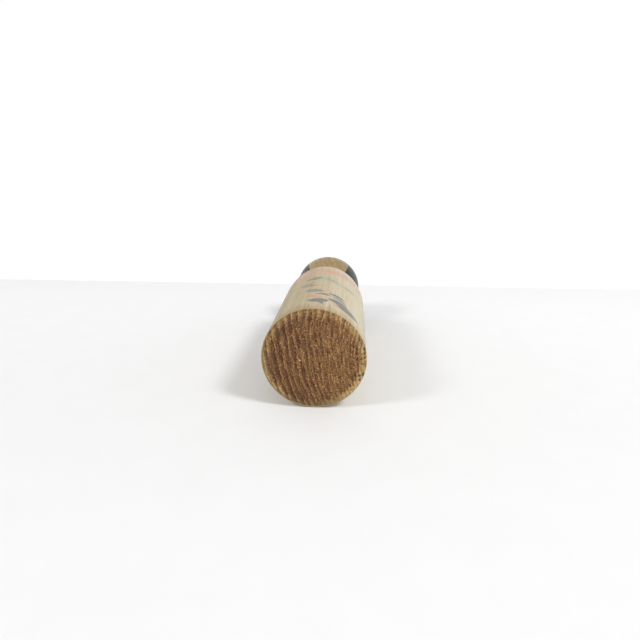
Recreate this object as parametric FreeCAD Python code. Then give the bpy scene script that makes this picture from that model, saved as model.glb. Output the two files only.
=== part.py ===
import FreeCAD, Part
import math
import os

# A small turned wooden rainstick in the shape of a limbless doll, lying on its side.
# Millimetres. The stick is turned about one long axis, which lies along Y: the base
# faces -Y and the crown of the head faces +Y. "Along" is the distance from the base
# face towards the crown. The origin is under the middle of the stick, on the surface
# that it lies on, and +Z is up.

# Body: a straight side, a slightly curved flank and a round shoulder.
BODY_RADIUS = 25.0
FLANK_START = 85.0  # along, where the straight side begins to curve in
SHOULDER_START = 105.0  # along, where the flank meets the round shoulder
SHOULDER_RADIUS = 23.2  # body radius there
SHOULDER_ROUND = 12.0
RIM_SLOPE = math.radians(15.0)  # fall of the bevel round the base face
RIM_ROUND = 1.0

# Chamber, bored from the base end and closed by a plug.
CHAMBER_RADIUS = 18.0
CHAMBER_START = 20.0
CHAMBER_END = 95.0
PLUG_RADIUS = 21.7
PLUG_SEAT = 15.0  # along, the step that the plug's flange rests on
SPIGOT_CLEARANCE = 0.05

# Baffle: a dowel along the axis with cross pins through it, in a helix.
SPINE_RADIUS = 3.0
SPINE_SEAT_DEPTH_BASE = 8.0
SPINE_SEAT_DEPTH_NECK = 4.0
PIN_RADIUS = 0.9
PIN_END_GAP = 0.5
PIN_COUNT = 19
PIN_END_MARGIN = 5.0  # from the end pins to the ends of the chamber
PIN_STEP_DEG = 15.0
PIN_ANGLES = 9  # steps from -60 to +60 degrees, which leave a channel below

# Grains: rows of small steel balls that run along the channel under the pins.
GRAIN_RADIUS = 1.7
GRAINS_PER_ROW = 8
GRAIN_PITCH = 3.5
GRAIN_WALL_GAP = 0.15
GRAIN_END_GAP = 0.3
GRAIN_ROWS = {"left": -105.0, "middle": -90.0, "right": -75.0}  # degrees about the axis

# Head: an egg-shaped chin and a flatter crown on a short neck, with a tenon that turns
# in the shoulder.
HEAD_RADIUS = 22.6
HEAD_CENTRE = 141.5
CHIN_LENGTH = 25.0
CROWN_SIDE_ROUND = 17.0
CROWN_TURN = math.radians(45.0)  # slope at which the crown's side meets its top
NECK_RADIUS = 10.5
NECK_GAP = 0.35
NECK_FILLET = 2.5
SOCKET_RADIUS = 6.0
SOCKET_BOTTOM = 101.5
TENON_CLEARANCE = 0.05
TENON_END_GAP = 0.6
TENON_CHAMFER = 0.6
BEAD_CENTRE = 106.5  # a raised bead on the tenon snaps into a groove in the socket
BEAD_HEIGHT = 0.65
BEAD_HALF_WIDTH = 2.0
GROOVE_MARGIN = 0.2

AXIS = FreeCAD.Vector(0, 1, 0)
ORIGIN = FreeCAD.Vector(0, 0, 0)


def crown():
    """Centres and radii of the two rounds of the crown: beside it, and across its top."""
    side_centre = (HEAD_CENTRE, HEAD_RADIUS - CROWN_SIDE_ROUND)
    back = side_centre[1] / math.cos(CROWN_TURN)
    top_centre = (HEAD_CENTRE - back * math.sin(CROWN_TURN), 0)
    return side_centre, top_centre, CROWN_SIDE_ROUND + back


def crown_end():
    top_centre, top_radius = crown()[1:]
    return top_centre[0] + top_radius


# The base face's centre, so that the stick's whole length is centred on the origin.
PLACE = FreeCAD.Vector(0, -crown_end() / 2, BODY_RADIUS)


def point(along, radius):
    return FreeCAD.Vector(radius, along, 0)


def line(start, end):
    return Part.LineSegment(point(*start), point(*end)).toShape()


def arc(start, middle, end):
    return Part.Arc(point(*start), point(*middle), point(*end)).toShape()


def on_round(centre, radius, slope):
    """The point of a round where the outline falls at the given slope."""
    along, height = centre
    return (along + radius * math.sin(slope), height + radius * math.cos(slope))


def round_edge(centre, radius, first, last):
    ends = [on_round(centre, radius, slope) for slope in (first, (first + last) / 2, last)]
    return arc(*ends)


def polyline(corners):
    return [line(a, b) for a, b in zip(corners, corners[1:])]


def turned(edges):
    """The solid swept by an outline turned about the stick's axis, in its place."""
    face = Part.Face(Part.Wire(edges))
    solid = face.revolve(ORIGIN, AXIS, 360)
    solid.translate(PLACE)
    return solid


def flank():
    """Centre, radius and end slope of the arc that leads from the side to the shoulder."""
    run = SHOULDER_START - FLANK_START
    drop = BODY_RADIUS - SHOULDER_RADIUS
    radius = (run * run + drop * drop) / (2 * drop)
    return (FLANK_START, BODY_RADIUS - radius), radius, math.asin(run / radius)


def shoulder_centre():
    slope = flank()[2]
    along = SHOULDER_START - SHOULDER_ROUND * math.sin(slope)
    return (along, SHOULDER_RADIUS - SHOULDER_ROUND * math.cos(slope))


def shoulder_top():
    """The flat seat under the neck: its place along the axis and its outer radius."""
    along, radius = shoulder_centre()
    return along + SHOULDER_ROUND, radius


def rim_centre():
    """Centre of the round between the bevel and the side of the body."""
    corner = (BODY_RADIUS - PLUG_RADIUS) * math.tan(RIM_SLOPE)
    turn = math.pi / 2 - RIM_SLOPE
    return (corner + RIM_ROUND * math.tan(turn / 2), BODY_RADIUS - RIM_ROUND)


def outside_of_body():
    """Edges from the rim's inner edge, along the side and over the shoulder to the seat."""
    centre, radius, slope = flank()
    rim_turn = RIM_SLOPE - math.pi / 2
    rim_start = on_round(rim_centre(), RIM_ROUND, rim_turn)
    side_start = on_round(rim_centre(), RIM_ROUND, 0)
    return [
        line((0, PLUG_RADIUS), rim_start),
        round_edge(rim_centre(), RIM_ROUND, rim_turn, 0),
        line(side_start, (FLANK_START, BODY_RADIUS)),
        round_edge(centre, radius, 0, slope),
        round_edge(shoulder_centre(), SHOULDER_ROUND, slope, math.pi / 2),
    ]


def beaded(radius, start, end, half_width, height):
    """A cylinder's outline from start to end with one round bead or groove on it."""
    near = (BEAD_CENTRE + math.copysign(half_width, start - end), radius)
    far = (BEAD_CENTRE - math.copysign(half_width, start - end), radius)
    top = (BEAD_CENTRE, radius + height)
    return [line((start, radius), near), arc(near, top, far), line(far, (end, radius))]


def body_shell():
    seat, seat_radius = shoulder_top()
    edges = outside_of_body()
    edges.append(line((seat, seat_radius), (seat, SOCKET_RADIUS)))
    groove = BEAD_HALF_WIDTH + GROOVE_MARGIN
    edges += beaded(SOCKET_RADIUS, seat, SOCKET_BOTTOM, groove, BEAD_HEIGHT + TENON_CLEARANCE)
    spine_seat = CHAMBER_END + SPINE_SEAT_DEPTH_NECK
    edges += polyline(
        [
            (SOCKET_BOTTOM, SOCKET_RADIUS),
            (SOCKET_BOTTOM, 0),
            (spine_seat, 0),
            (spine_seat, SPINE_RADIUS),
            (CHAMBER_END, SPINE_RADIUS),
            (CHAMBER_END, CHAMBER_RADIUS),
            (PLUG_SEAT, CHAMBER_RADIUS),
            (PLUG_SEAT, PLUG_RADIUS),
            (0, PLUG_RADIUS),
        ]
    )
    return turned(edges)


def base_plug():
    spigot = CHAMBER_RADIUS - SPIGOT_CLEARANCE
    spine_seat = CHAMBER_START - SPINE_SEAT_DEPTH_BASE
    return turned(
        polyline(
            [
                (0, 0),
                (0, PLUG_RADIUS),
                (PLUG_SEAT, PLUG_RADIUS),
                (PLUG_SEAT, spigot),
                (CHAMBER_START, spigot),
                (CHAMBER_START, SPINE_RADIUS),
                (spine_seat, SPINE_RADIUS),
                (spine_seat, 0),
                (0, 0),
            ]
        )
    )


def cross_pin(number):
    """One pin through the spine. Its angle steps round the axis from pin to pin."""
    room = CHAMBER_END - CHAMBER_START - 2 * PIN_END_MARGIN
    along = CHAMBER_START + PIN_END_MARGIN + room * number / (PIN_COUNT - 1)
    step = number % PIN_ANGLES - PIN_ANGLES // 2
    angle = math.radians(PIN_STEP_DEG * step)
    direction = FreeCAD.Vector(math.cos(angle), 0, math.sin(angle))
    half = CHAMBER_RADIUS - PIN_END_GAP
    start = PLACE + FreeCAD.Vector(0, along, 0) - direction * half
    return Part.makeCylinder(PIN_RADIUS, 2 * half, start, direction)


def baffle_spine(pins):
    start = CHAMBER_START - SPINE_SEAT_DEPTH_BASE
    length = CHAMBER_END + SPINE_SEAT_DEPTH_NECK - start
    spine = Part.makeCylinder(SPINE_RADIUS, length, PLACE + AXIS * start, AXIS)
    return spine.cut(pins).Solids[0]


def grain(row_angle_deg, number):
    radius = CHAMBER_RADIUS - GRAIN_RADIUS - GRAIN_WALL_GAP
    angle = math.radians(row_angle_deg)
    along = CHAMBER_START + GRAIN_END_GAP + GRAIN_RADIUS + GRAIN_PITCH * number
    centre = FreeCAD.Vector(radius * math.cos(angle), along, radius * math.sin(angle))
    return Part.makeSphere(GRAIN_RADIUS, PLACE + centre)


def chin_outline(join_deg):
    """From the neck to the widest circle. Angles are from the chin's tip on the axis."""
    tip = point(HEAD_CENTRE - CHIN_LENGTH, 0)
    ellipse = Part.Ellipse(tip, point(HEAD_CENTRE, HEAD_RADIUS), point(HEAD_CENTRE, 0))
    return Part.ArcOfEllipse(ellipse, math.radians(join_deg), math.pi / 2).toShape()


def crown_outline():
    side_centre, top_centre, top_radius = crown()
    start = on_round(top_centre, top_radius, CROWN_TURN)
    middle = on_round(top_centre, top_radius, (CROWN_TURN + math.pi / 2) / 2)
    return [
        round_edge(side_centre, CROWN_SIDE_ROUND, 0, CROWN_TURN),
        arc(start, middle, (crown_end(), 0)),
    ]


def neck_joins_chin():
    """Where the neck's side meets the chin: its place along the axis and its angle."""
    angle = math.asin(NECK_RADIUS / HEAD_RADIUS)
    return HEAD_CENTRE - CHIN_LENGTH * math.cos(angle), math.degrees(angle)


def soften(solid, along, radius):
    """A fillet on the ring-shaped edge at the given place along the axis."""
    place = (PLACE + AXIS * along).y
    boxes = [(edge, edge.BoundBox) for edge in solid.Edges]
    rings = [edge for edge, box in boxes if box.YLength < 0.01 and abs(box.YMin - place) < 0.01]
    return solid.makeFillet(radius, rings)


def head():
    seat = shoulder_top()[0] + NECK_GAP
    tenon = SOCKET_RADIUS - TENON_CLEARANCE
    end = SOCKET_BOTTOM + TENON_END_GAP
    join, join_deg = neck_joins_chin()
    edges = polyline([(end, 0), (end, tenon - TENON_CHAMFER), (end + TENON_CHAMFER, tenon)])
    edges += beaded(tenon, end + TENON_CHAMFER, seat, BEAD_HALF_WIDTH, BEAD_HEIGHT)
    edges += polyline([(seat, tenon), (seat, NECK_RADIUS), (join, NECK_RADIUS)])
    edges += [chin_outline(join_deg)] + crown_outline()
    edges.append(line((crown_end(), 0), (end, 0)))
    return soften(turned(edges), join, NECK_FILLET)


def save(name, shape):
    shape.exportStep("parts/" + name + ".step")


os.makedirs("parts", exist_ok=True)
save("body_shell", body_shell())
save("base_plug", base_plug())
save("head", head())
pins = [cross_pin(number) for number in range(PIN_COUNT)]
save("baffle_spine", baffle_spine(pins))
for number, pin in enumerate(pins, start=1):
    save(f"baffle_pin_{number:02d}", pin)
for side, row_angle_deg in GRAIN_ROWS.items():
    for number in range(GRAINS_PER_ROW):
        save(f"grain_{side}_{number + 1}", grain(row_angle_deg, number))
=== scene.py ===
import math

import bpy
import numpy as np
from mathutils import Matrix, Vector


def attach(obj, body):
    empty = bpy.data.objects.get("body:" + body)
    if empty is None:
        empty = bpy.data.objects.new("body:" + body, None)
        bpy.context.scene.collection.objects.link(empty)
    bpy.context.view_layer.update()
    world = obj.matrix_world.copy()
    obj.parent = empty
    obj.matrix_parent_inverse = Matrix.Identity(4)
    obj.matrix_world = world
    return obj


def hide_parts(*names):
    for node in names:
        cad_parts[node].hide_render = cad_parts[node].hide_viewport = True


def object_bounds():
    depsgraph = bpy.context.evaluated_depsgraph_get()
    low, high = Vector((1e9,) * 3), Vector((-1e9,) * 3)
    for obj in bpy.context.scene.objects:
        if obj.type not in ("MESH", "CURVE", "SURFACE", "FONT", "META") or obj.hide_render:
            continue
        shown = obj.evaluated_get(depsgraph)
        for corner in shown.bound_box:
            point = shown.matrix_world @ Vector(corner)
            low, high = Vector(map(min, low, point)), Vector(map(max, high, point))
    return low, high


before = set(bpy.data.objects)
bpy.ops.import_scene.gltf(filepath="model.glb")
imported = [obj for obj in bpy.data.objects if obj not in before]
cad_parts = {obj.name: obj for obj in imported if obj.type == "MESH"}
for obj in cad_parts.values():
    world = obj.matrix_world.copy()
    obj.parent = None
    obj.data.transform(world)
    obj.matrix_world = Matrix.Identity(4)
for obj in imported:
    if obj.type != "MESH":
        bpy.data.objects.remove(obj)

CAD_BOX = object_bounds()
MM = 0.001

# The turned shape, in millimetres. "Along" is the distance from the base face towards
# the crown, and the axis lies along Y at the height of the body's radius.
BODY_RADIUS = 25.0
FLANK_START = 85.0
SHOULDER_START = 105.0
SHOULDER_RADIUS = 23.2
SHOULDER_ROUND = 12.0
RIM_SLOPE = math.radians(15.0)
RIM_ROUND = 1.0
CHAMBER_RADIUS = 18.0
CHAMBER_START = 20.0
CHAMBER_END = 95.0
PLUG_RADIUS = 21.7
PLUG_SEAT = 15.0
PLUG_CHAMFER = 0.1
SPIGOT_CLEARANCE = 0.05
SPINE_RADIUS = 3.0
SPINE_SEAT_BASE = CHAMBER_START - 8.0
SPINE_SEAT_NECK = CHAMBER_END + 4.0
HEAD_RADIUS = 22.6
HEAD_CENTRE = 141.5
CHIN_LENGTH = 25.0
CHIN_STEPS = 70
CROWN_SIDE_ROUND = 17.0
CROWN_TURN = math.radians(45.0)
NECK_RADIUS = 10.5
NECK_GAP = 0.35
NECK_FILLET = 2.5
SOCKET_RADIUS = 6.0
SOCKET_BOTTOM = 101.5
TENON_RADIUS = SOCKET_RADIUS - 0.05
TENON_END = SOCKET_BOTTOM + 0.6
TENON_CHAMFER = 0.6
BEAD_CENTRE = 106.5
BEAD_HEIGHT = 0.65
BEAD_HALF_WIDTH = 2.0
GROOVE_HALF_WIDTH = BEAD_HALF_WIDTH + 0.2
GROOVE_DEPTH = BEAD_HEIGHT + 0.05

LENGTH = (CAD_BOX[1].y - CAD_BOX[0].y) / MM
BASE_Y = CAD_BOX[0].y / MM
AXIS_Z = BODY_RADIUS


# Outlines: lists of (along, radius) points.
def straight(start, end, step):
    count = max(1, round(math.dist(start, end) / step))
    return [tuple(a + (b - a) * i / count for a, b in zip(start, end)) for i in range(count + 1)]


def on_round(centre, radius, slope):
    return (centre[0] + radius * math.sin(slope), centre[1] + radius * math.cos(slope))


def round_edge(centre, radius, first, last, step):
    count = max(2, round(abs(last - first) * radius / step))
    return [on_round(centre, radius, first + (last - first) * i / count) for i in range(count + 1)]


def bump(start, end, radius, height, step=0.35):
    """A shallow round bead (or a groove, with the same sign) between two places."""
    half = (end - start) / 2
    big = (half * half + height * height) / (2 * height)
    turn = math.asin(half / big)
    centre = ((start + end) / 2, radius + height - big)
    return round_edge(centre, big, -turn, turn, step)


def joined(*runs):
    """One outline from runs that meet end to end, without repeated points."""
    points = []
    for run in runs:
        for point in run:
            if not points or math.dist(points[-1], point) > 1e-6:
                points.append(point)
    return points


def rim_centre():
    corner = (BODY_RADIUS - PLUG_RADIUS) * math.tan(RIM_SLOPE)
    return (corner + RIM_ROUND * math.tan((math.pi / 2 - RIM_SLOPE) / 2), BODY_RADIUS - RIM_ROUND)


def flank():
    run, drop = SHOULDER_START - FLANK_START, BODY_RADIUS - SHOULDER_RADIUS
    radius = (run * run + drop * drop) / (2 * drop)
    return (FLANK_START, BODY_RADIUS - radius), radius, math.asin(run / radius)


def shoulder():
    slope = flank()[2]
    along = SHOULDER_START - SHOULDER_ROUND * math.sin(slope)
    return along, SHOULDER_RADIUS - SHOULDER_ROUND * math.cos(slope)


def body_outline():
    flank_centre, flank_radius, slope = flank()
    turn = RIM_SLOPE - math.pi / 2
    seat = shoulder()[0] + SHOULDER_ROUND
    groove = (BEAD_CENTRE - GROOVE_HALF_WIDTH, BEAD_CENTRE + GROOVE_HALF_WIDTH)
    return joined(
        straight((SPINE_SEAT_NECK, 0), (SPINE_SEAT_NECK, SPINE_RADIUS), 3),
        straight((SPINE_SEAT_NECK, SPINE_RADIUS), (CHAMBER_END, SPINE_RADIUS), 4),
        straight((CHAMBER_END, SPINE_RADIUS), (CHAMBER_END, CHAMBER_RADIUS), 5),
        straight((CHAMBER_END, CHAMBER_RADIUS), (PLUG_SEAT, CHAMBER_RADIUS), 10),
        straight((PLUG_SEAT, CHAMBER_RADIUS), (PLUG_SEAT, PLUG_RADIUS), 4),
        straight((PLUG_SEAT, PLUG_RADIUS), (0, PLUG_RADIUS), 5),
        straight((0, PLUG_RADIUS), on_round(rim_centre(), RIM_ROUND, turn), 0.6),
        round_edge(rim_centre(), RIM_ROUND, turn, 0, 0.2),
        straight((rim_centre()[0], BODY_RADIUS), (FLANK_START, BODY_RADIUS), 0.5),
        round_edge(flank_centre, flank_radius, 0, slope, 0.5),
        round_edge(shoulder(), SHOULDER_ROUND, slope, math.pi / 2, 0.6),
        straight((seat, shoulder()[1]), (seat, SOCKET_RADIUS), 2),
        straight((seat, SOCKET_RADIUS), (groove[1], SOCKET_RADIUS), 2),
        bump(*groove, SOCKET_RADIUS, GROOVE_DEPTH)[::-1],
        straight((groove[0], SOCKET_RADIUS), (SOCKET_BOTTOM, SOCKET_RADIUS), 2),
        straight((SOCKET_BOTTOM, SOCKET_RADIUS), (SOCKET_BOTTOM, 0), 6),
    )


def plug_outline():
    spigot = CHAMBER_RADIUS - SPIGOT_CLEARANCE
    return joined(
        straight((0, 0), (0, PLUG_RADIUS - PLUG_CHAMFER), 2.5),
        [(PLUG_CHAMFER, PLUG_RADIUS), (PLUG_SEAT, PLUG_RADIUS), (PLUG_SEAT, spigot)],
        [(CHAMBER_START, spigot), (CHAMBER_START, SPINE_RADIUS)],
        [(SPINE_SEAT_BASE, SPINE_RADIUS), (SPINE_SEAT_BASE, 0)],
    )


def chin_point(angle, offset=0.0):
    """A point of the chin's ellipse, or off it by a distance. The angle is 0 at the tip."""
    across, away = CHIN_LENGTH * math.sin(angle), HEAD_RADIUS * math.cos(angle)
    size = math.hypot(across, away)
    along = HEAD_CENTRE - CHIN_LENGTH * math.cos(angle) - offset * away / size
    return along, HEAD_RADIUS * math.sin(angle) + offset * across / size


def head_outline():
    seat = shoulder()[0] + SHOULDER_ROUND + NECK_GAP
    low, high = 0.1, math.pi / 2
    for _ in range(50):
        middle = (low + high) / 2
        if chin_point(middle, NECK_FILLET)[1] < NECK_RADIUS + NECK_FILLET:
            low = middle
        else:
            high = middle
    fillet = chin_point(low, NECK_FILLET)
    touch = chin_point(low)
    end = math.atan2(touch[0] - fillet[0], touch[1] - fillet[1])
    side_centre = (HEAD_CENTRE, HEAD_RADIUS - CROWN_SIDE_ROUND)
    back = side_centre[1] / math.cos(CROWN_TURN)
    top_centre = (HEAD_CENTRE - back * math.sin(CROWN_TURN), 0)
    bead = (BEAD_CENTRE - BEAD_HALF_WIDTH, BEAD_CENTRE + BEAD_HALF_WIDTH)
    turns = [low + (math.pi / 2 - low) * i / CHIN_STEPS for i in range(CHIN_STEPS + 1)]
    return joined(
        [(TENON_END, 0), (TENON_END, TENON_RADIUS - TENON_CHAMFER)],
        [(TENON_END + TENON_CHAMFER, TENON_RADIUS), (bead[0], TENON_RADIUS)],
        bump(*bead, TENON_RADIUS, BEAD_HEIGHT),
        [(bead[1], TENON_RADIUS), (seat, TENON_RADIUS), (seat, NECK_RADIUS)],
        [(fillet[0], NECK_RADIUS)],
        round_edge(fillet, NECK_FILLET, -math.pi, end, 0.3),
        [chin_point(turn) for turn in turns],
        round_edge(side_centre, CROWN_SIDE_ROUND, 0, CROWN_TURN, 0.5),
        round_edge(top_centre, CROWN_SIDE_ROUND + back, CROWN_TURN, math.pi / 2, 0.5)[:-1],
        [(LENGTH, 0)],
    )


def turned(name, outline, segments, body, node):
    """A closed mesh swept by an outline that starts and ends on the axis."""
    rings = outline[1:-1]
    verts = [(0, BASE_Y + outline[0][0], AXIS_Z)]
    for along, radius in rings:
        for i in range(segments):
            angle = 2 * math.pi * i / segments
            x, z = radius * math.sin(angle), radius * math.cos(angle)
            verts.append((x, BASE_Y + along, AXIS_Z + z))
    verts.append((0, BASE_Y + outline[-1][0], AXIS_Z))
    last = len(verts) - 1
    faces = []
    for i in range(segments):
        j = (i + 1) % segments
        faces.append((0, 1 + i, 1 + j))
        start = 1 + (len(rings) - 1) * segments
        faces.append((start + j, start + i, last))
        for ring in range(len(rings) - 1):
            a, b = 1 + ring * segments, 1 + (ring + 1) * segments
            faces.append((a + i, b + i, b + j, a + j))
    mesh = bpy.data.meshes.new(name)
    mesh.from_pydata([tuple(c * MM for c in v) for v in verts], [], faces)
    mesh.polygons.foreach_set("use_smooth", [True] * len(mesh.polygons))
    mesh.set_sharp_from_angle(angle=math.radians(28))
    mesh.update()
    piece = bpy.data.objects.new(name, mesh)
    bpy.context.scene.collection.objects.link(piece)
    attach(piece, body)
    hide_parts(node)
    return piece


body = turned("body", body_outline(), 288, "body", "body_shell")
plug = turned("plug", plug_outline(), 192, "body", "base_plug")
head = turned("doll_head", head_outline(), 240, "head", "head")


# Paint. Each brush stroke is an arc that swells and tapers.
UNPAINTED = -9.0  # the depth of a place that is far outside every stroke
DEPTH_KEPT = 4.0  # depths are cut off at this many millimetres either way
REACH = 5.0  # a stroke is only worked out for places this near to it


def brush(start, end, bow, half_width, fullest=0.5):
    """One stroke, as rows of (across, along, half-width) in millimetres.

    Across is measured round the side from its top line. The arc bows to the left of the
    way it is drawn, and is widest at the share "fullest" of its length.
    """
    start, end = np.array(start), np.array(end)
    run = end - start
    left = np.array([-run[1], run[0]]) / np.hypot(*run)
    share = np.linspace(0, 1, 25)
    middle = start + np.outer(share, run) + np.outer(4 * bow * share * (1 - share), left)
    swell = np.sin(math.pi * share ** (math.log(0.5) / math.log(fullest)))
    return np.column_stack([middle, half_width * swell])


def stroke_depth(place, path):
    """How deep inside a stroke each place is, in millimetres, negative outside."""
    depth = np.full(len(place), UNPAINTED)
    low, high = path[:, :2].min(axis=0) - REACH, path[:, :2].max(axis=0) + REACH
    near = ((place > low) & (place < high)).all(axis=1)
    spot = place[near]
    best = np.full(len(spot), UNPAINTED)
    for start, end in zip(path, path[1:]):
        run = end[:2] - start[:2]
        share = ((spot - start[:2]) @ run / max(run @ run, 1e-9)).clip(0, 1)
        away = np.hypot(*(spot - start[:2] - share[:, None] * run).T)
        best = np.maximum(best, start[2] + (end[2] - start[2]) * share - away)
    depth[near] = best
    return depth


def lay_paint(piece, name, strokes, radius, extra=None):
    """Stores the depth inside the nearest stroke as a point attribute."""
    count = len(piece.data.vertices)
    co = np.empty(count * 3)
    piece.data.vertices.foreach_get("co", co)
    co = co.reshape(-1, 3) / MM
    angle = np.arctan2(co[:, 0], co[:, 2] - AXIS_Z)
    place = np.column_stack([angle * radius, co[:, 1] - BASE_Y])
    from_axis = np.hypot(co[:, 0], co[:, 2] - AXIS_Z)
    in_rebate = (place[:, 1] < PLUG_SEAT + 0.1) & (from_axis < PLUG_RADIUS + 0.3)
    outside = (from_axis > CHAMBER_RADIUS + 0.5) | (place[:, 1] > SHOULDER_START)
    outside &= ~in_rebate
    depth = np.full(count, UNPAINTED)
    for stroke in strokes:
        depth = np.maximum(depth, stroke_depth(place, stroke))
    if extra is not None:
        depth = np.maximum(depth, extra(place))
    depth[~outside] = UNPAINTED
    layer = piece.data.attributes.new(name, "FLOAT", "POINT")
    layer.data.foreach_set("value", depth.astype(np.float32).clip(-DEPTH_KEPT, DEPTH_KEPT))


PAINT = {
    # Thin dark streaks of grain that run in from the rim.
    "streak": [
        brush((7.5, -5), (7, 15), 0, 0.6),
        brush((-2, -5), (-3, 13), 0, 0.6),
        brush((3.5, -5), (3.5, 6), 0, 0.4),
        brush((10.5, -5), (10.5, 7), 0, 0.4),
        brush((-7.5, -5), (-8, 14), 0, 0.4),
    ],
    # The dark petals, their stalk and the thin petals above them.
    "ink": [
        brush((-4.5, 16.5), (6, 19), -1.5, 3.3),
        brush((1.5, 15), (4.5, 8.5), 0, 1.0, 0.25),
        brush((5.5, 22), (17, 17.5), 0, 3.1, 0.5),
        brush((11.5, 18.5), (25, 13), -2, 3.6, 0.4),
        brush((5, 31), (15, 26.5), 1.5, 1.7, 0.4),
        brush((6.5, 27), (16, 22), 1, 1.1),
        brush((-1.5, 27.5), (7, 26.5), 1.5, 1.5),
    ],
    "slate": [
        brush((-7, 37), (4, 34.5), -1, 3.1),
        brush((-11.5, 50.5), (-4, 48), -1, 2.6, 0.6),
        brush((-9, 61), (0.5, 65.5), -0.5, 3.1),
        brush((2, 64.5), (12, 57.5), -1, 0.6),
        brush((13.5, 57), (22.5, 58), -0.5, 1.2),
    ],
    "leaf": [
        brush((-2, 69), (9, 56), 0, 4.8),
        brush((5, 57), (19, 57), -1, 2.3),
        brush((7, 29), (14, 26.5), 0.5, 1.3),
        brush((-8.5, 31), (-4.5, 29.5), 0, 1.6),
        brush((-8.5, 16), (-4.5, 14.5), 0, 1.6),
    ],
    "coral": [
        brush((-7, 25.5), (3, 20), 1, 2.3),
        brush((8.5, 16), (16.5, 13), -1, 2.7),
    ],
    "blush": [
        brush((2, 34), (7, 34), 0, 2.4),
        brush((-10, 41), (-6, 39), 0, 2.2),
        brush((-2.5, 8.5), (2.5, 7.5), 0, 1.8),
        brush((-16, 76), (-12, 83), 0.5, 3.0),
    ],
    "plum": [
        brush((-5.5, 46.5), (-1, 47), -0.5, 1.6),
        brush((-6.5, 52.5), (-2, 53), 0.5, 1.1),
    ],
}


BAND_CENTRE = 82.0
BAND_HALF_WIDTH = 5.5


def pink_band(place):
    """A brushed ring round the body, just below the shoulder."""
    return BAND_HALF_WIDTH - abs(place[:, 1] - BAND_CENTRE)


for paint, strokes in PAINT.items():
    lay_paint(body, paint, strokes, BODY_RADIUS)
lay_paint(body, "pink", [], BODY_RADIUS, pink_band)


LEFT_TEMPLE = 39.0  # degrees from the top line
RIGHT_TEMPLE = 41.0
NAPE = 122.5
FRINGE = 153.0


def hair(place):
    """Side locks from the temples, joined over the back of the head and the crown."""
    degrees = np.degrees(place[:, 0] / HEAD_RADIUS)
    past_temple = np.maximum(-degrees - LEFT_TEMPLE, degrees - RIGHT_TEMPLE)
    side = np.radians(past_temple) * HEAD_RADIUS
    return np.maximum(np.minimum(side, place[:, 1] - NAPE), place[:, 1] - FRINGE)


EYES_AND_NOSE = [
    brush((-10, 148), (-4.5, 148), 1.3, 0.45),
    brush((4.5, 148), (10, 148), 1.3, 0.45),
    brush((-1, 144), (1, 144), -0.5, 0.3),
]
LIPS = [brush((-2, 139.7), (2, 139.7), -0.5, 0.65)]
lay_paint(head, "hair", [], HEAD_RADIUS, hair)
lay_paint(head, "face", EYES_AND_NOSE, HEAD_RADIUS)
lay_paint(head, "lips", LIPS, HEAD_RADIUS)


# Materials.
def linear(red, green, blue):
    """A colour given in 0-255 display values."""
    values = [c / 255 for c in (red, green, blue)]
    return tuple(c / 12.92 if c < 0.04045 else ((c + 0.055) / 1.055) ** 2.4 for c in values) + (1,)


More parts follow.
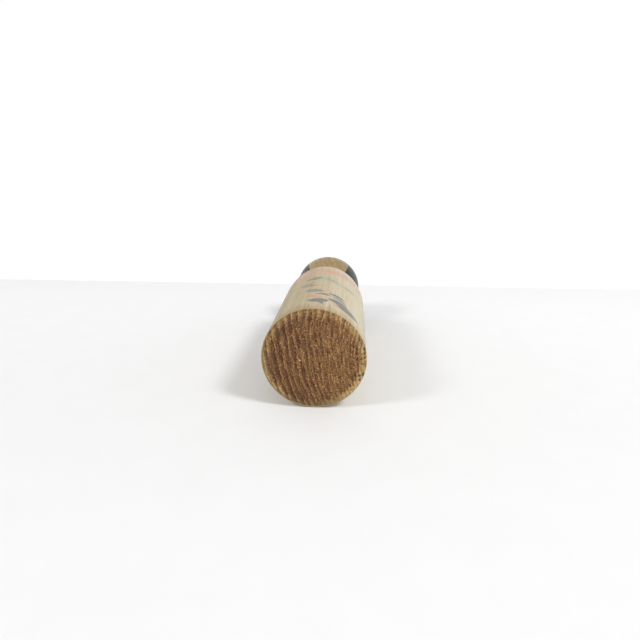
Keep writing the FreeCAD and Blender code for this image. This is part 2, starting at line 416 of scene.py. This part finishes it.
class Graph:
    """Adds nodes to one material. Each call returns the new node's output."""

    def __init__(self, name):
        self.material = bpy.data.materials.new(name)
        self.material.use_nodes = True
        self.tree = self.material.node_tree
        self.shader = self.tree.nodes["Principled BSDF"]

    def put(self, socket, value):
        if isinstance(value, bpy.types.NodeSocket):
            self.tree.links.new(value, socket)
        else:
            socket.default_value = value

    def math(self, operation, a, b=0.0):
        node = self.tree.nodes.new("ShaderNodeMath")
        node.operation = operation
        for socket, value in zip(node.inputs, (a, b)):
            self.put(socket, value)
        return node.outputs[0]

    def add(self, a, b):
        return self.math("ADD", a, b)

    def times(self, a, b):
        return self.math("MULTIPLY", a, b)

    def vector(self, operation, a, b=(0, 0, 0)):
        node = self.tree.nodes.new("ShaderNodeVectorMath")
        node.operation = operation
        self.put(node.inputs[0], a)
        self.put(node.inputs[1], b)
        return node.outputs["Value" if operation == "LENGTH" else "Vector"]

    def split(self, vector):
        node = self.tree.nodes.new("ShaderNodeSeparateXYZ")
        self.put(node.inputs[0], vector)
        return node.outputs

    def combine(self, x, y, z):
        node = self.tree.nodes.new("ShaderNodeCombineXYZ")
        for socket, value in zip(node.inputs, (x, y, z)):
            self.put(socket, value)
        return node.outputs[0]

    def noise(self, vector, scale=1.0, detail=2.0, roughness=0.5, colour=False):
        node = self.tree.nodes.new("ShaderNodeTexNoise")
        self.put(node.inputs["Vector"], vector)
        node.inputs["Scale"].default_value = scale
        node.inputs["Detail"].default_value = detail
        node.inputs["Roughness"].default_value = roughness
        return node.outputs["Color" if colour else "Fac"]

    def cells(self, vector, scale):
        """Distance to the nearest cell's centre, and the cell's random colour."""
        node = self.tree.nodes.new("ShaderNodeTexVoronoi")
        self.put(node.inputs["Vector"], vector)
        node.inputs["Scale"].default_value = scale
        return node.outputs["Distance"], node.outputs["Color"]

    def span(self, value, low, high, start=0.0, end=1.0, smooth=True):
        node = self.tree.nodes.new("ShaderNodeMapRange")
        node.interpolation_type = "SMOOTHSTEP" if smooth else "LINEAR"
        for socket, item in zip(node.inputs, (value, low, high, start, end)):
            self.put(socket, item)
        return node.outputs[0]

    def ramp(self, value, *stops):
        node = self.tree.nodes.new("ShaderNodeValToRGB")
        self.put(node.inputs[0], value)
        elements = node.color_ramp.elements
        while len(elements) < len(stops):
            elements.new(0.5)
        for element, (place, colour) in zip(elements, stops):
            element.position, element.color = place, colour
        return node.outputs[0]

    def mix(self, share, a, b, kind="MIX"):
        node = self.tree.nodes.new("ShaderNodeMix")
        node.data_type, node.blend_type = "RGBA", kind
        self.put(node.inputs[0], share)
        self.put(node.inputs[6], a)
        self.put(node.inputs[7], b)
        return node.outputs[2]

    def attribute(self, name):
        node = self.tree.nodes.new("ShaderNodeAttribute")
        node.attribute_name = name
        return node.outputs["Fac"]

    def place(self):
        """The row frame's coordinates in millimetres, from the axis and the base face."""
        node = self.tree.nodes.new("ShaderNodeTexCoord")
        scaled = self.vector("MULTIPLY", node.outputs["Object"], (1 / MM,) * 3)
        return self.vector("ADD", scaled, (0, -BASE_Y, -AXIS_Z))

    def bump(self, height, distance, strength=1.0):
        node = self.tree.nodes.new("ShaderNodeBump")
        node.inputs["Strength"].default_value = strength
        node.inputs["Distance"].default_value = distance * MM
        self.put(node.inputs["Height"], height)
        self.put(self.shader.inputs["Normal"], node.outputs[0])


def grey(value):
    return (value, value, value, 1)


def timber(g, place, pith, spacing, growth, seed):
    """Ring-porous wood that grew round a pith line beside the piece, along Y.

    pith is how far across the pith lies and its height seen from the left and the right.
    spacing is the ring width at the distance "near" from the pith, and growth how much
    wider it gets per millimetre outwards.
    """
    near = 55.0
    x, y, z = g.split(place)
    slow = g.combine(x, g.times(y, 0.12), z)
    sway = g.noise(g.vector("ADD", slow, (seed, seed, 0)), 0.07, 2.0, 0.5, colour=True)
    sway = g.vector("MULTIPLY", g.vector("SUBTRACT", sway, (0.5,) * 3), (2.6, 0, 2.6))
    ripple = g.noise(g.vector("ADD", slow, (0, seed, seed)), 0.45, 2.0, 0.6, colour=True)
    ripple = g.vector("MULTIPLY", g.vector("SUBTRACT", ripple, (0.5,) * 3), (0.4, 0, 0.4))
    mx, my, mz = g.split(g.vector("ADD", g.vector("ADD", place, sway), ripple))
    mx = g.add(mx, -pith[0])
    mz = g.add(mz, g.span(x, -20, 20, -pith[1], -pith[2], smooth=False))
    away = g.vector("LENGTH", g.combine(mx, 0.0, mz))
    round_it = g.times(g.math("ARCTAN2", mz, g.math("ABSOLUTE", mx)), near)
    rate = growth / spacing
    widened = g.math("MAXIMUM", g.add(g.times(away, rate), 1 - near * rate), 0.05)
    rings = g.math("LOGARITHM", widened, math.e)
    rings = g.times(rings, 1 / growth)
    threads = g.combine(g.times(away, 1.15), g.times(round_it, 0.24), g.times(y, 0.05))
    threads = g.noise(threads, 1.0, 2.0, 0.6)
    fine = g.combine(x, g.times(y, 0.04), z)
    grit = g.noise(fine, 1.25, 2.0, 0.8)
    torn = g.add(g.times(g.add(threads, -0.5), 0.7), g.times(g.add(grit, -0.5), 0.5))
    phase = g.math("FRACT", g.add(rings, torn))
    early = g.ramp(phase, (0.0, grey(0.25)), (0.10, grey(0.9)), (0.38, grey(1)), (0.62, grey(0.35)),
                   (0.82, grey(0.05)), (0.97, grey(0.0)))
    bold = g.span(g.noise(slow, 0.16, 2.0), 0.3, 0.62, 0.6, 1.0)
    bold = g.times(bold, g.span(away, near, near + 35, 0.6, 1.0))
    early = g.times(early, bold)
    gap, shade = g.cells(g.vector("MULTIPLY", place, (1.0, 0.035, 1.0)), 1.2)
    pores = g.span(g.math("SUBTRACT", g.span(early, 0.1, 0.8, 0.14, 0.36, smooth=False), gap), -0.05, 0.12)
    fleck, fleck_shade = g.cells(g.vector("MULTIPLY", place, (1.0, 0.05, 1.0)), 0.9)
    pick = g.math("GREATER_THAN", g.split(fleck_shade)[0], g.span(x, -20, 20, 0.97, 0.86, smooth=False))
    flecks = g.times(g.span(fleck, 0.36, 0.16), pick)
    return {"early": early, "pores": pores, "grit": grit, "flecks": flecks, "threads": threads,
            "phase": phase, "round_it": round_it, "x": x, "y": y, "z": z, "slow": slow}


PITH = (78.0, 27.0, 4.0)
FACE_SPACING = 1.7
FACE_GROWTH = 0.045
VESSEL_SPACING = 2.5


def end_grain(g, place):
    """Bare end grain with a golden ring outside it that the dark streaks run into."""
    wood = timber(g, place, PITH, FACE_SPACING, FACE_GROWTH, 3.0)
    radius = g.vector("LENGTH", g.combine(wood["x"], 0.0, wood["z"]))
    thread = g.span(wood["threads"], 0.36, 0.64, -0.5, 0.5)
    speckle = g.span(wood["grit"], 0.34, 0.66, -0.5, 0.5)
    bands = g.times(wood["early"], g.span(wood["x"], -18, 14, 0.40, 0.22))
    tone = g.add(g.add(bands, g.times(thread, 0.36)), g.add(g.times(speckle, 0.50), 0.365))
    face = g.ramp(tone, (0.0, linear(178, 142, 92)), (0.25, linear(145, 106, 63)),
                  (0.5, linear(113, 76, 43)), (0.75, linear(86, 51, 29)), (1.0, linear(56, 31, 20)))
    red, green, blue = g.split(g.noise(place, 0.22, 2.0, colour=True))
    face = g.mix(g.span(red, 0.5, 0.75, 0, 0.3), face, linear(112, 98, 60))
    face = g.mix(g.span(green, 0.5, 0.75, 0, 0.3), face, linear(96, 62, 52))
    face = g.mix(g.times(wood["pores"], 0.6), face, linear(50, 27, 15))
    face = g.mix(g.times(wood["flecks"], 0.75), face, linear(208, 172, 124))
    chip, chip_shade = g.cells(g.vector("MULTIPLY", place, (1.0, 0.05, 1.0)), 0.28)
    chip = g.times(g.span(chip, 0.15, 0.08), g.math("GREATER_THAN", g.split(chip_shade)[2], 0.955))
    face = g.mix(g.times(chip, 0.75), face, linear(232, 212, 176))
    glow = g.add(g.times(wood["early"], 0.45), g.times(thread, 0.5))
    glow = g.add(glow, g.add(g.times(speckle, 0.5), 0.28))
    gold = g.ramp(glow, (0.0, linear(204, 176, 118)), (0.3, linear(170, 138, 82)),
                  (0.55, linear(140, 106, 58)), (0.8, linear(100, 68, 36)), (1.0, linear(58, 34, 20)))
    gold = g.mix(g.span(red, 0.45, 0.7, 0, 0.22), gold, linear(152, 132, 72))
    gold = g.mix(g.times(wood["pores"], 0.8), gold, linear(54, 32, 18))
    # Painted shade: the gold ring is darker towards the upper right.
    gold = g.mix(g.span(g.add(wood["x"], wood["z"]), -8, 24, 0, 0.2), gold, linear(112, 80, 42))
    # Darker towards the bottom: partly darker wood, partly painted shade near the floor.
    gold = g.mix(g.span(wood["z"], -14, -24, 0, 0.5), gold, linear(92, 60, 40))
    # Painted shade: the gold ring is darker towards the top.
    above = g.span(g.add(wood["z"], g.times(wood["x"], -0.4)), 8, 21)
    gold = g.mix(above, gold, (0.76, 0.68, 0.57, 1), "MULTIPLY")
    lower_right = g.math("SUBTRACT", wood["x"], wood["z"])
    gold = g.mix(g.span(lower_right, 24, 34, 0, 0.3), gold, linear(222, 190, 130))
    # Painted shade: a dark brown strip along the ring's outer edge on the left.
    painted_shade_left_edge = g.times(g.span(radius, 23.9, 24.4), g.span(wood["x"], -8, -22, 0, 0.45))
    gold = g.mix(painted_shade_left_edge, gold, linear(116, 84, 52))
    edge = g.add(radius, g.times(g.add(wood["early"], -0.35), -1.6))
    edge = g.add(edge, g.times(g.add(wood["threads"], -0.5), 3.4))
    edge = g.add(edge, g.times(g.add(g.noise(place, 0.5, 2.0), -0.5), 1.8))
    edge = g.add(edge, g.span(wood["z"], -6, 20, 0.3, -0.9, smooth=False))
    edge = g.add(edge, g.span(wood["x"], -10, -22, 0, 0.4))
    share = g.span(edge, 22.1, 22.35)
    # A broken pale line along the ring's inner edge.
    pale_ring_edge_line = g.times(g.span(edge, 21.7, 22.1), g.span(edge, 22.9, 22.4))
    pale_ring_edge_line = g.times(pale_ring_edge_line, g.span(wood["grit"], 0.5, 0.62, 0, 0.5))
    colour = g.mix(pale_ring_edge_line, g.mix(share, face, gold), linear(206, 176, 124))
    # Wide early vessels stand in rows along the rings on the side nearer the pith.
    stagger = g.times(g.noise(place, 0.3, 1.0), 1.2)
    row = g.math("FRACT", g.add(g.times(wood["round_it"], 1 / VESSEL_SPACING), stagger))
    across_row = g.times(g.add(row, -0.5), VESSEL_SPACING)
    apart = g.combine(across_row, g.times(g.add(wood["phase"], -0.3), FACE_SPACING), 0.0)
    vessels = g.span(g.vector("LENGTH", apart), 0.78, 0.46)
    vessels = g.times(vessels, g.times(g.span(wood["x"], 14, 20), g.span(blue, 0.42, 0.52)))
    colour = g.mix(g.times(vessels, 0.85), colour, linear(54, 31, 18))
    # Painted shade: the end face is darker towards the left and towards the bottom.
    shade = g.span(wood["x"], -22, 22, 0.92, 1.03, smooth=False)
    shade = g.times(shade, g.span(wood["z"], -25, -12, 0.80, 1.0))
    return wood, g.vector("MULTIPLY", colour, g.combine(shade, shade, shade))


def body_material():
    g = Graph("body_wood")
    place = g.place()
    wood, rim = end_grain(g, place)
    u = g.times(g.math("ARCTAN2", wood["x"], wood["z"]), BODY_RADIUS)
    streaks = g.noise(g.combine(wood["x"], g.times(wood["y"], 0.03), wood["z"]), 0.22, 4.0, 0.6)
    # Painted shade: the side's colour darkens and warms towards the left, the flank away from the stronger
    # light.
    across = g.add(g.times(wood["x"], 0.5 / BODY_RADIUS), g.times(g.add(streaks, -0.5), 0.9))
    pale = g.ramp(g.add(across, 0.5), (0.02, linear(150, 131, 86)), (0.30, linear(170, 153, 110)),
                  (0.65, linear(197, 182, 150)), (0.95, linear(206, 197, 170)))
    lines = g.noise(g.combine(g.times(u, 0.75), g.times(wood["y"], 0.012), 3.0), 1.0, 3.0, 0.6)
    pale = g.mix(g.span(lines, 0.52, 0.68, 0, 0.4), pale, linear(160, 136, 98))
    pale = g.mix(g.times(wood["early"], 0.18), pale, linear(160, 130, 92))
    pale = g.mix(g.times(wood["pores"], 0.22), pale, linear(130, 100, 68))
    tint = g.split(g.noise(wood["slow"], 0.16, 3.0, colour=True))
    pale = g.mix(g.span(tint[0], 0.45, 0.7), pale, (1.0, 0.98, 0.86, 1), "MULTIPLY")
    pale = g.mix(g.span(tint[1], 0.5, 0.75, 0, 0.7), pale, (1.0, 0.92, 0.9, 1), "MULTIPLY")
    pale = g.mix(g.span(wood["x"], 16, 24), pale, (0.90, 0.88, 0.84, 1), "MULTIPLY")
    # The side is darker towards the base rim.
    near_rim_darkening = g.span(g.add(wood["y"], g.times(g.add(streaks, -0.5), 12)), 13, 0.5)
    pale = g.mix(near_rim_darkening, pale, (0.77, 0.69, 0.57, 1), "MULTIPLY")
    brush = g.noise(g.combine(g.times(u, 0.22), g.times(wood["y"], 1.5), 0.0), 1.0, 3.0, 0.65)
    ragged = g.add(g.times(g.add(brush, -0.5), 1.4), g.times(g.add(g.noise(place, 1.4, 2.0), -0.5), 0.8))
    paint = pale
    for name, colour, cover, soft in (
        ("streak", linear(140, 112, 74), 0.55, 0.8),
        ("pink", linear(206, 134, 128), 0.52, 5.0),
        ("leaf", linear(150, 166, 144), 0.50, 2.6),
        ("slate", linear(98, 108, 114), 0.76, 1.5),
        ("blush", linear(210, 152, 134), 0.34, 2.0),
        ("coral", linear(194, 126, 102), 0.56, 1.4),
        ("plum", linear(124, 80, 84), 0.60, 1.2),
        ("ink", linear(74, 82, 90), 0.82, 1.2),
    ):
        depth = g.add(g.attribute(name), g.times(ragged, 0.6 if name != "pink" else 3.0))
        mask = g.times(g.span(depth, -soft / 2, soft / 2), g.span(brush, 0.25, 0.6, cover * 0.75, cover))
        # Painted highlight: the pink is thinned towards the right side, where glare washes it out.
        if name == "pink":
            mask = g.times(mask, g.span(wood["x"], 6, 22, 1.0, 0.5))
        paint = g.mix(mask, paint, colour)
    corner = g.add(wood["x"], wood["z"])
    lip = g.add(g.span(corner, -4, -22, 0, 0.35), g.span(corner, -4, 16, 0, -0.22))
    side = g.span(g.add(wood["y"], lip), 0.88, 1.08)
    g.put(g.shader.inputs["Base Color"], g.mix(side, rim, paint))
    rough = g.add(g.span(wood["grit"], 0.3, 0.7, 0.40, 0.50), g.times(wood["pores"], 0.12))
    g.put(g.shader.inputs["Roughness"], g.mix(side, grey(0.68), rough))
    g.shader.inputs["Specular IOR Level"].default_value = 0.4
    g.shader.inputs["Coat Weight"].default_value = 0.12
    g.shader.inputs["Coat Roughness"].default_value = 0.3
    height = g.add(g.times(wood["pores"], -0.8), g.times(wood["grit"], 0.3))
    g.bump(height, 0.05)
    return g.material


def plug_material():
    g = Graph("end_grain_wood")
    place = g.place()
    wood, colour = end_grain(g, place)
    g.put(g.shader.inputs["Base Color"], colour)
    g.put(g.shader.inputs["Roughness"], g.span(wood["grit"], 0.3, 0.7, 0.62, 0.78))
    g.shader.inputs["Specular IOR Level"].default_value = 0.3
    height = g.add(g.times(wood["grit"], 0.5), g.times(wood["early"], -0.4))
    g.bump(g.add(g.times(wood["pores"], -1.0), height), 0.12)
    return g.material


def head_material():
    g = Graph("head_wood")
    place = g.place()
    wood = timber(g, place, (-70.0, -40.0, -40.0), 2.2, 0.02, 11.0)
    patches = g.noise(wood["slow"], 0.12, 3.0)
    base = g.ramp(patches, (0.3, linear(152, 130, 89)), (0.7, linear(170, 147, 104)))
    lines = g.noise(g.combine(wood["x"], g.times(wood["y"], 0.02), wood["z"]), 0.9, 3.0, 0.65)
    base = g.mix(g.span(lines, 0.42, 0.7, 0, 0.45), base, linear(126, 98, 60))
    base = g.mix(g.times(wood["early"], 0.25), base, linear(120, 90, 54))
    base = g.mix(g.times(wood["pores"], 0.35), base, linear(96, 66, 38))
    ragged = g.times(g.add(g.noise(place, 0.9, 3.0, 0.6), -0.5), 1.2)
    spoke = g.vector("NORMALIZE", g.combine(wood["x"], 0.0, wood["z"]))
    spoke = g.vector("MULTIPLY", spoke, (HEAD_RADIUS - 0.6,) * 3)
    spoke = g.vector("ADD", spoke, g.combine(0.0, g.times(wood["y"], 0.09), 0.0))
    strands = g.noise(spoke, 1.3, 4.0, 0.7)
    black = g.ramp(strands, (0.32, linear(15, 15, 17)), (0.52, linear(32, 32, 34)),
                   (0.70, linear(64, 62, 62)))
    hair_mask = g.times(g.span(g.add(g.attribute("hair"), ragged), -0.25, 0.25), 0.97)
    colour = g.mix(hair_mask, base, black)
    colour = g.mix(g.span(g.attribute("face"), -0.12, 0.12), colour, linear(44, 38, 36))
    colour = g.mix(g.span(g.attribute("lips"), -0.12, 0.12), colour, linear(178, 62, 52))
    g.put(g.shader.inputs["Base Color"], colour)
    hair_rough = g.times(hair_mask, g.span(strands, 0.3, 0.7, -0.06, 0.1))
    rough = g.add(g.span(wood["grit"], 0.3, 0.7, 0.36, 0.46), hair_rough)
    g.put(g.shader.inputs["Roughness"], rough)
    g.shader.inputs["Coat Weight"].default_value = 0.15
    g.shader.inputs["Coat Roughness"].default_value = 0.25
    grain = g.add(g.times(wood["pores"], -0.7), g.times(wood["grit"], 0.3))
    g.bump(g.add(grain, g.times(hair_mask, strands)), 0.05)
    return g.material


def dowel_material():
    g = Graph("baffle_wood")
    place = g.place()
    wood = timber(g, place, (40.0, 60.0, 60.0), 1.6, 0.03, 21.0)
    base = g.ramp(wood["grit"], (0.3, linear(196, 166, 120)), (0.7, linear(222, 196, 152)))
    base = g.mix(g.times(wood["early"], 0.4), base, linear(168, 128, 82))
    base = g.mix(g.times(wood["pores"], 0.4), base, linear(120, 86, 52))
    g.put(g.shader.inputs["Base Color"], base)
    g.put(g.shader.inputs["Roughness"], g.span(wood["grit"], 0.3, 0.7, 0.6, 0.72))
    g.bump(g.add(g.times(wood["pores"], -0.7), wood["grit"]), 0.05)
    return g.material


def steel_material():
    g = Graph("shot_steel")
    place = g.place()
    tint = g.noise(place, 0.8, 3.0)
    g.put(g.shader.inputs["Base Color"], g.ramp(tint, (0.3, grey(0.42)), (0.7, grey(0.58))))
    g.put(g.shader.inputs["Roughness"], g.span(g.noise(place, 3.0, 2.0), 0.3, 0.7, 0.22, 0.4))
    g.shader.inputs["Metallic"].default_value = 1.0
    g.bump(g.noise(place, 2.0, 3.0), 0.02)
    return g.material


def dress(piece, material):
    piece.data.materials.clear()
    piece.data.materials.append(material)


dress(body, body_material())
dress(plug, plug_material())
dress(head, head_material())
dowel, steel = dowel_material(), steel_material()
for name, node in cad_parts.items():
    if name.startswith("baffle"):
        finish = dowel
    elif name.startswith("grain"):
        finish = steel
    else:
        continue
    for material_slot in node.material_slots:
        material_slot.material = finish


# Floor: a sheet of white paper in front of a white wall.
def sheet(name, corners, height, colour):
    mesh = bpy.data.meshes.new(name)
    mesh.from_pydata([(x, y, height) for x, y in corners], [], [(0, 1, 2, 3)])
    piece = bpy.data.objects.new(name, mesh)
    bpy.context.scene.collection.objects.link(piece)
    g = Graph(name)
    node = g.tree.nodes.new("ShaderNodeTexCoord")
    speck = g.noise(node.outputs["Object"], 60.0, 3.0)
    base = g.ramp(speck, (0.3, grey(colour * 0.985)), (0.7, grey(colour)))
    # Painted light: the paper grows lighter towards the back, standing in for the brighter far floor.
    back = g.span(g.split(node.outputs["Object"])[1], -0.12, 0.15, 0.98, 1.095)
    g.put(g.shader.inputs["Base Color"], g.vector("MULTIPLY", base, g.combine(back, back, back)))
    g.shader.inputs["Roughness"].default_value = 0.9
    g.shader.inputs["Specular IOR Level"].default_value = 0.1
    dress(piece, g.material)
    return piece


PAPER_EDGE = 0.9
BACK_LEFT, BACK_RIGHT = 0.177, 0.165  # the paper's far edge lies a little askew
front = [(-PAPER_EDGE, -PAPER_EDGE), (PAPER_EDGE, -PAPER_EDGE)]
sheet("paper", front + [(PAPER_EDGE, BACK_RIGHT), (-PAPER_EDGE, BACK_LEFT)], 0.0, 0.87)


# Light and camera.
def area_light(name, place, target, size, power):
    data = bpy.data.lights.new(name, "AREA")
    data.shape, data.size, data.energy = "DISK", size, power
    light = bpy.data.objects.new(name, data)
    light.location = place
    light.rotation_euler = (Vector(target) - Vector(place)).to_track_quat("-Z", "Y").to_euler()
    bpy.context.scene.collection.objects.link(light)


MIDDLE = (0, 0, 0.02)
for name, place, size, power in (
    ("left_softbox", (-0.68, -0.42, 0.65), 0.25, 2.6),
    ("right_softbox", (0.58, -0.42, 0.80), 0.25, 4.7),
    ("top_softbox", (0.0, 0.15, 1.1), 0.8, 0.4),
):
    area_light(name, place, MIDDLE, size, power)

# The studio's walls are bright up to a little above the camera's view, its ceiling dimmer.
world = bpy.data.worlds.new("studio")
world.use_nodes = True
bpy.context.scene.world = world
tree = world.node_tree
facing = tree.nodes.new("ShaderNodeTexCoord")
parts = tree.nodes.new("ShaderNodeSeparateXYZ")
walls = tree.nodes.new("ShaderNodeMapRange")
walls.interpolation_type = "SMOOTHSTEP"
for name, value in (("From Min", 0.33), ("From Max", 0.5), ("To Min", 1.02), ("To Max", 0.50)):
    walls.inputs[name].default_value = value
tree.links.new(facing.outputs["Generated"], parts.inputs[0])
tree.links.new(parts.outputs["Z"], walls.inputs["Value"])
tree.links.new(walls.outputs[0], tree.nodes["Background"].inputs["Strength"])
tree.nodes["Background"].inputs["Color"].default_value = (1, 1, 1, 1)

bpy.context.scene.view_settings.view_transform = "Standard"

CAMERA_PLACE = Vector((0.0165, -0.2877, 0.1123))
PITCH, YAW = math.radians(17.94), math.radians(-3.71)
camera_data = bpy.data.cameras.new("camera")
camera_data.lens = 27.0
camera_data.sensor_width = 36.0
camera_data.clip_start = 0.01
camera = bpy.data.objects.new("camera", camera_data)
camera.location = CAMERA_PLACE
camera.rotation_euler = (math.pi / 2 - PITCH, 0, -YAW)
bpy.context.scene.collection.objects.link(camera)
bpy.context.scene.camera = camera
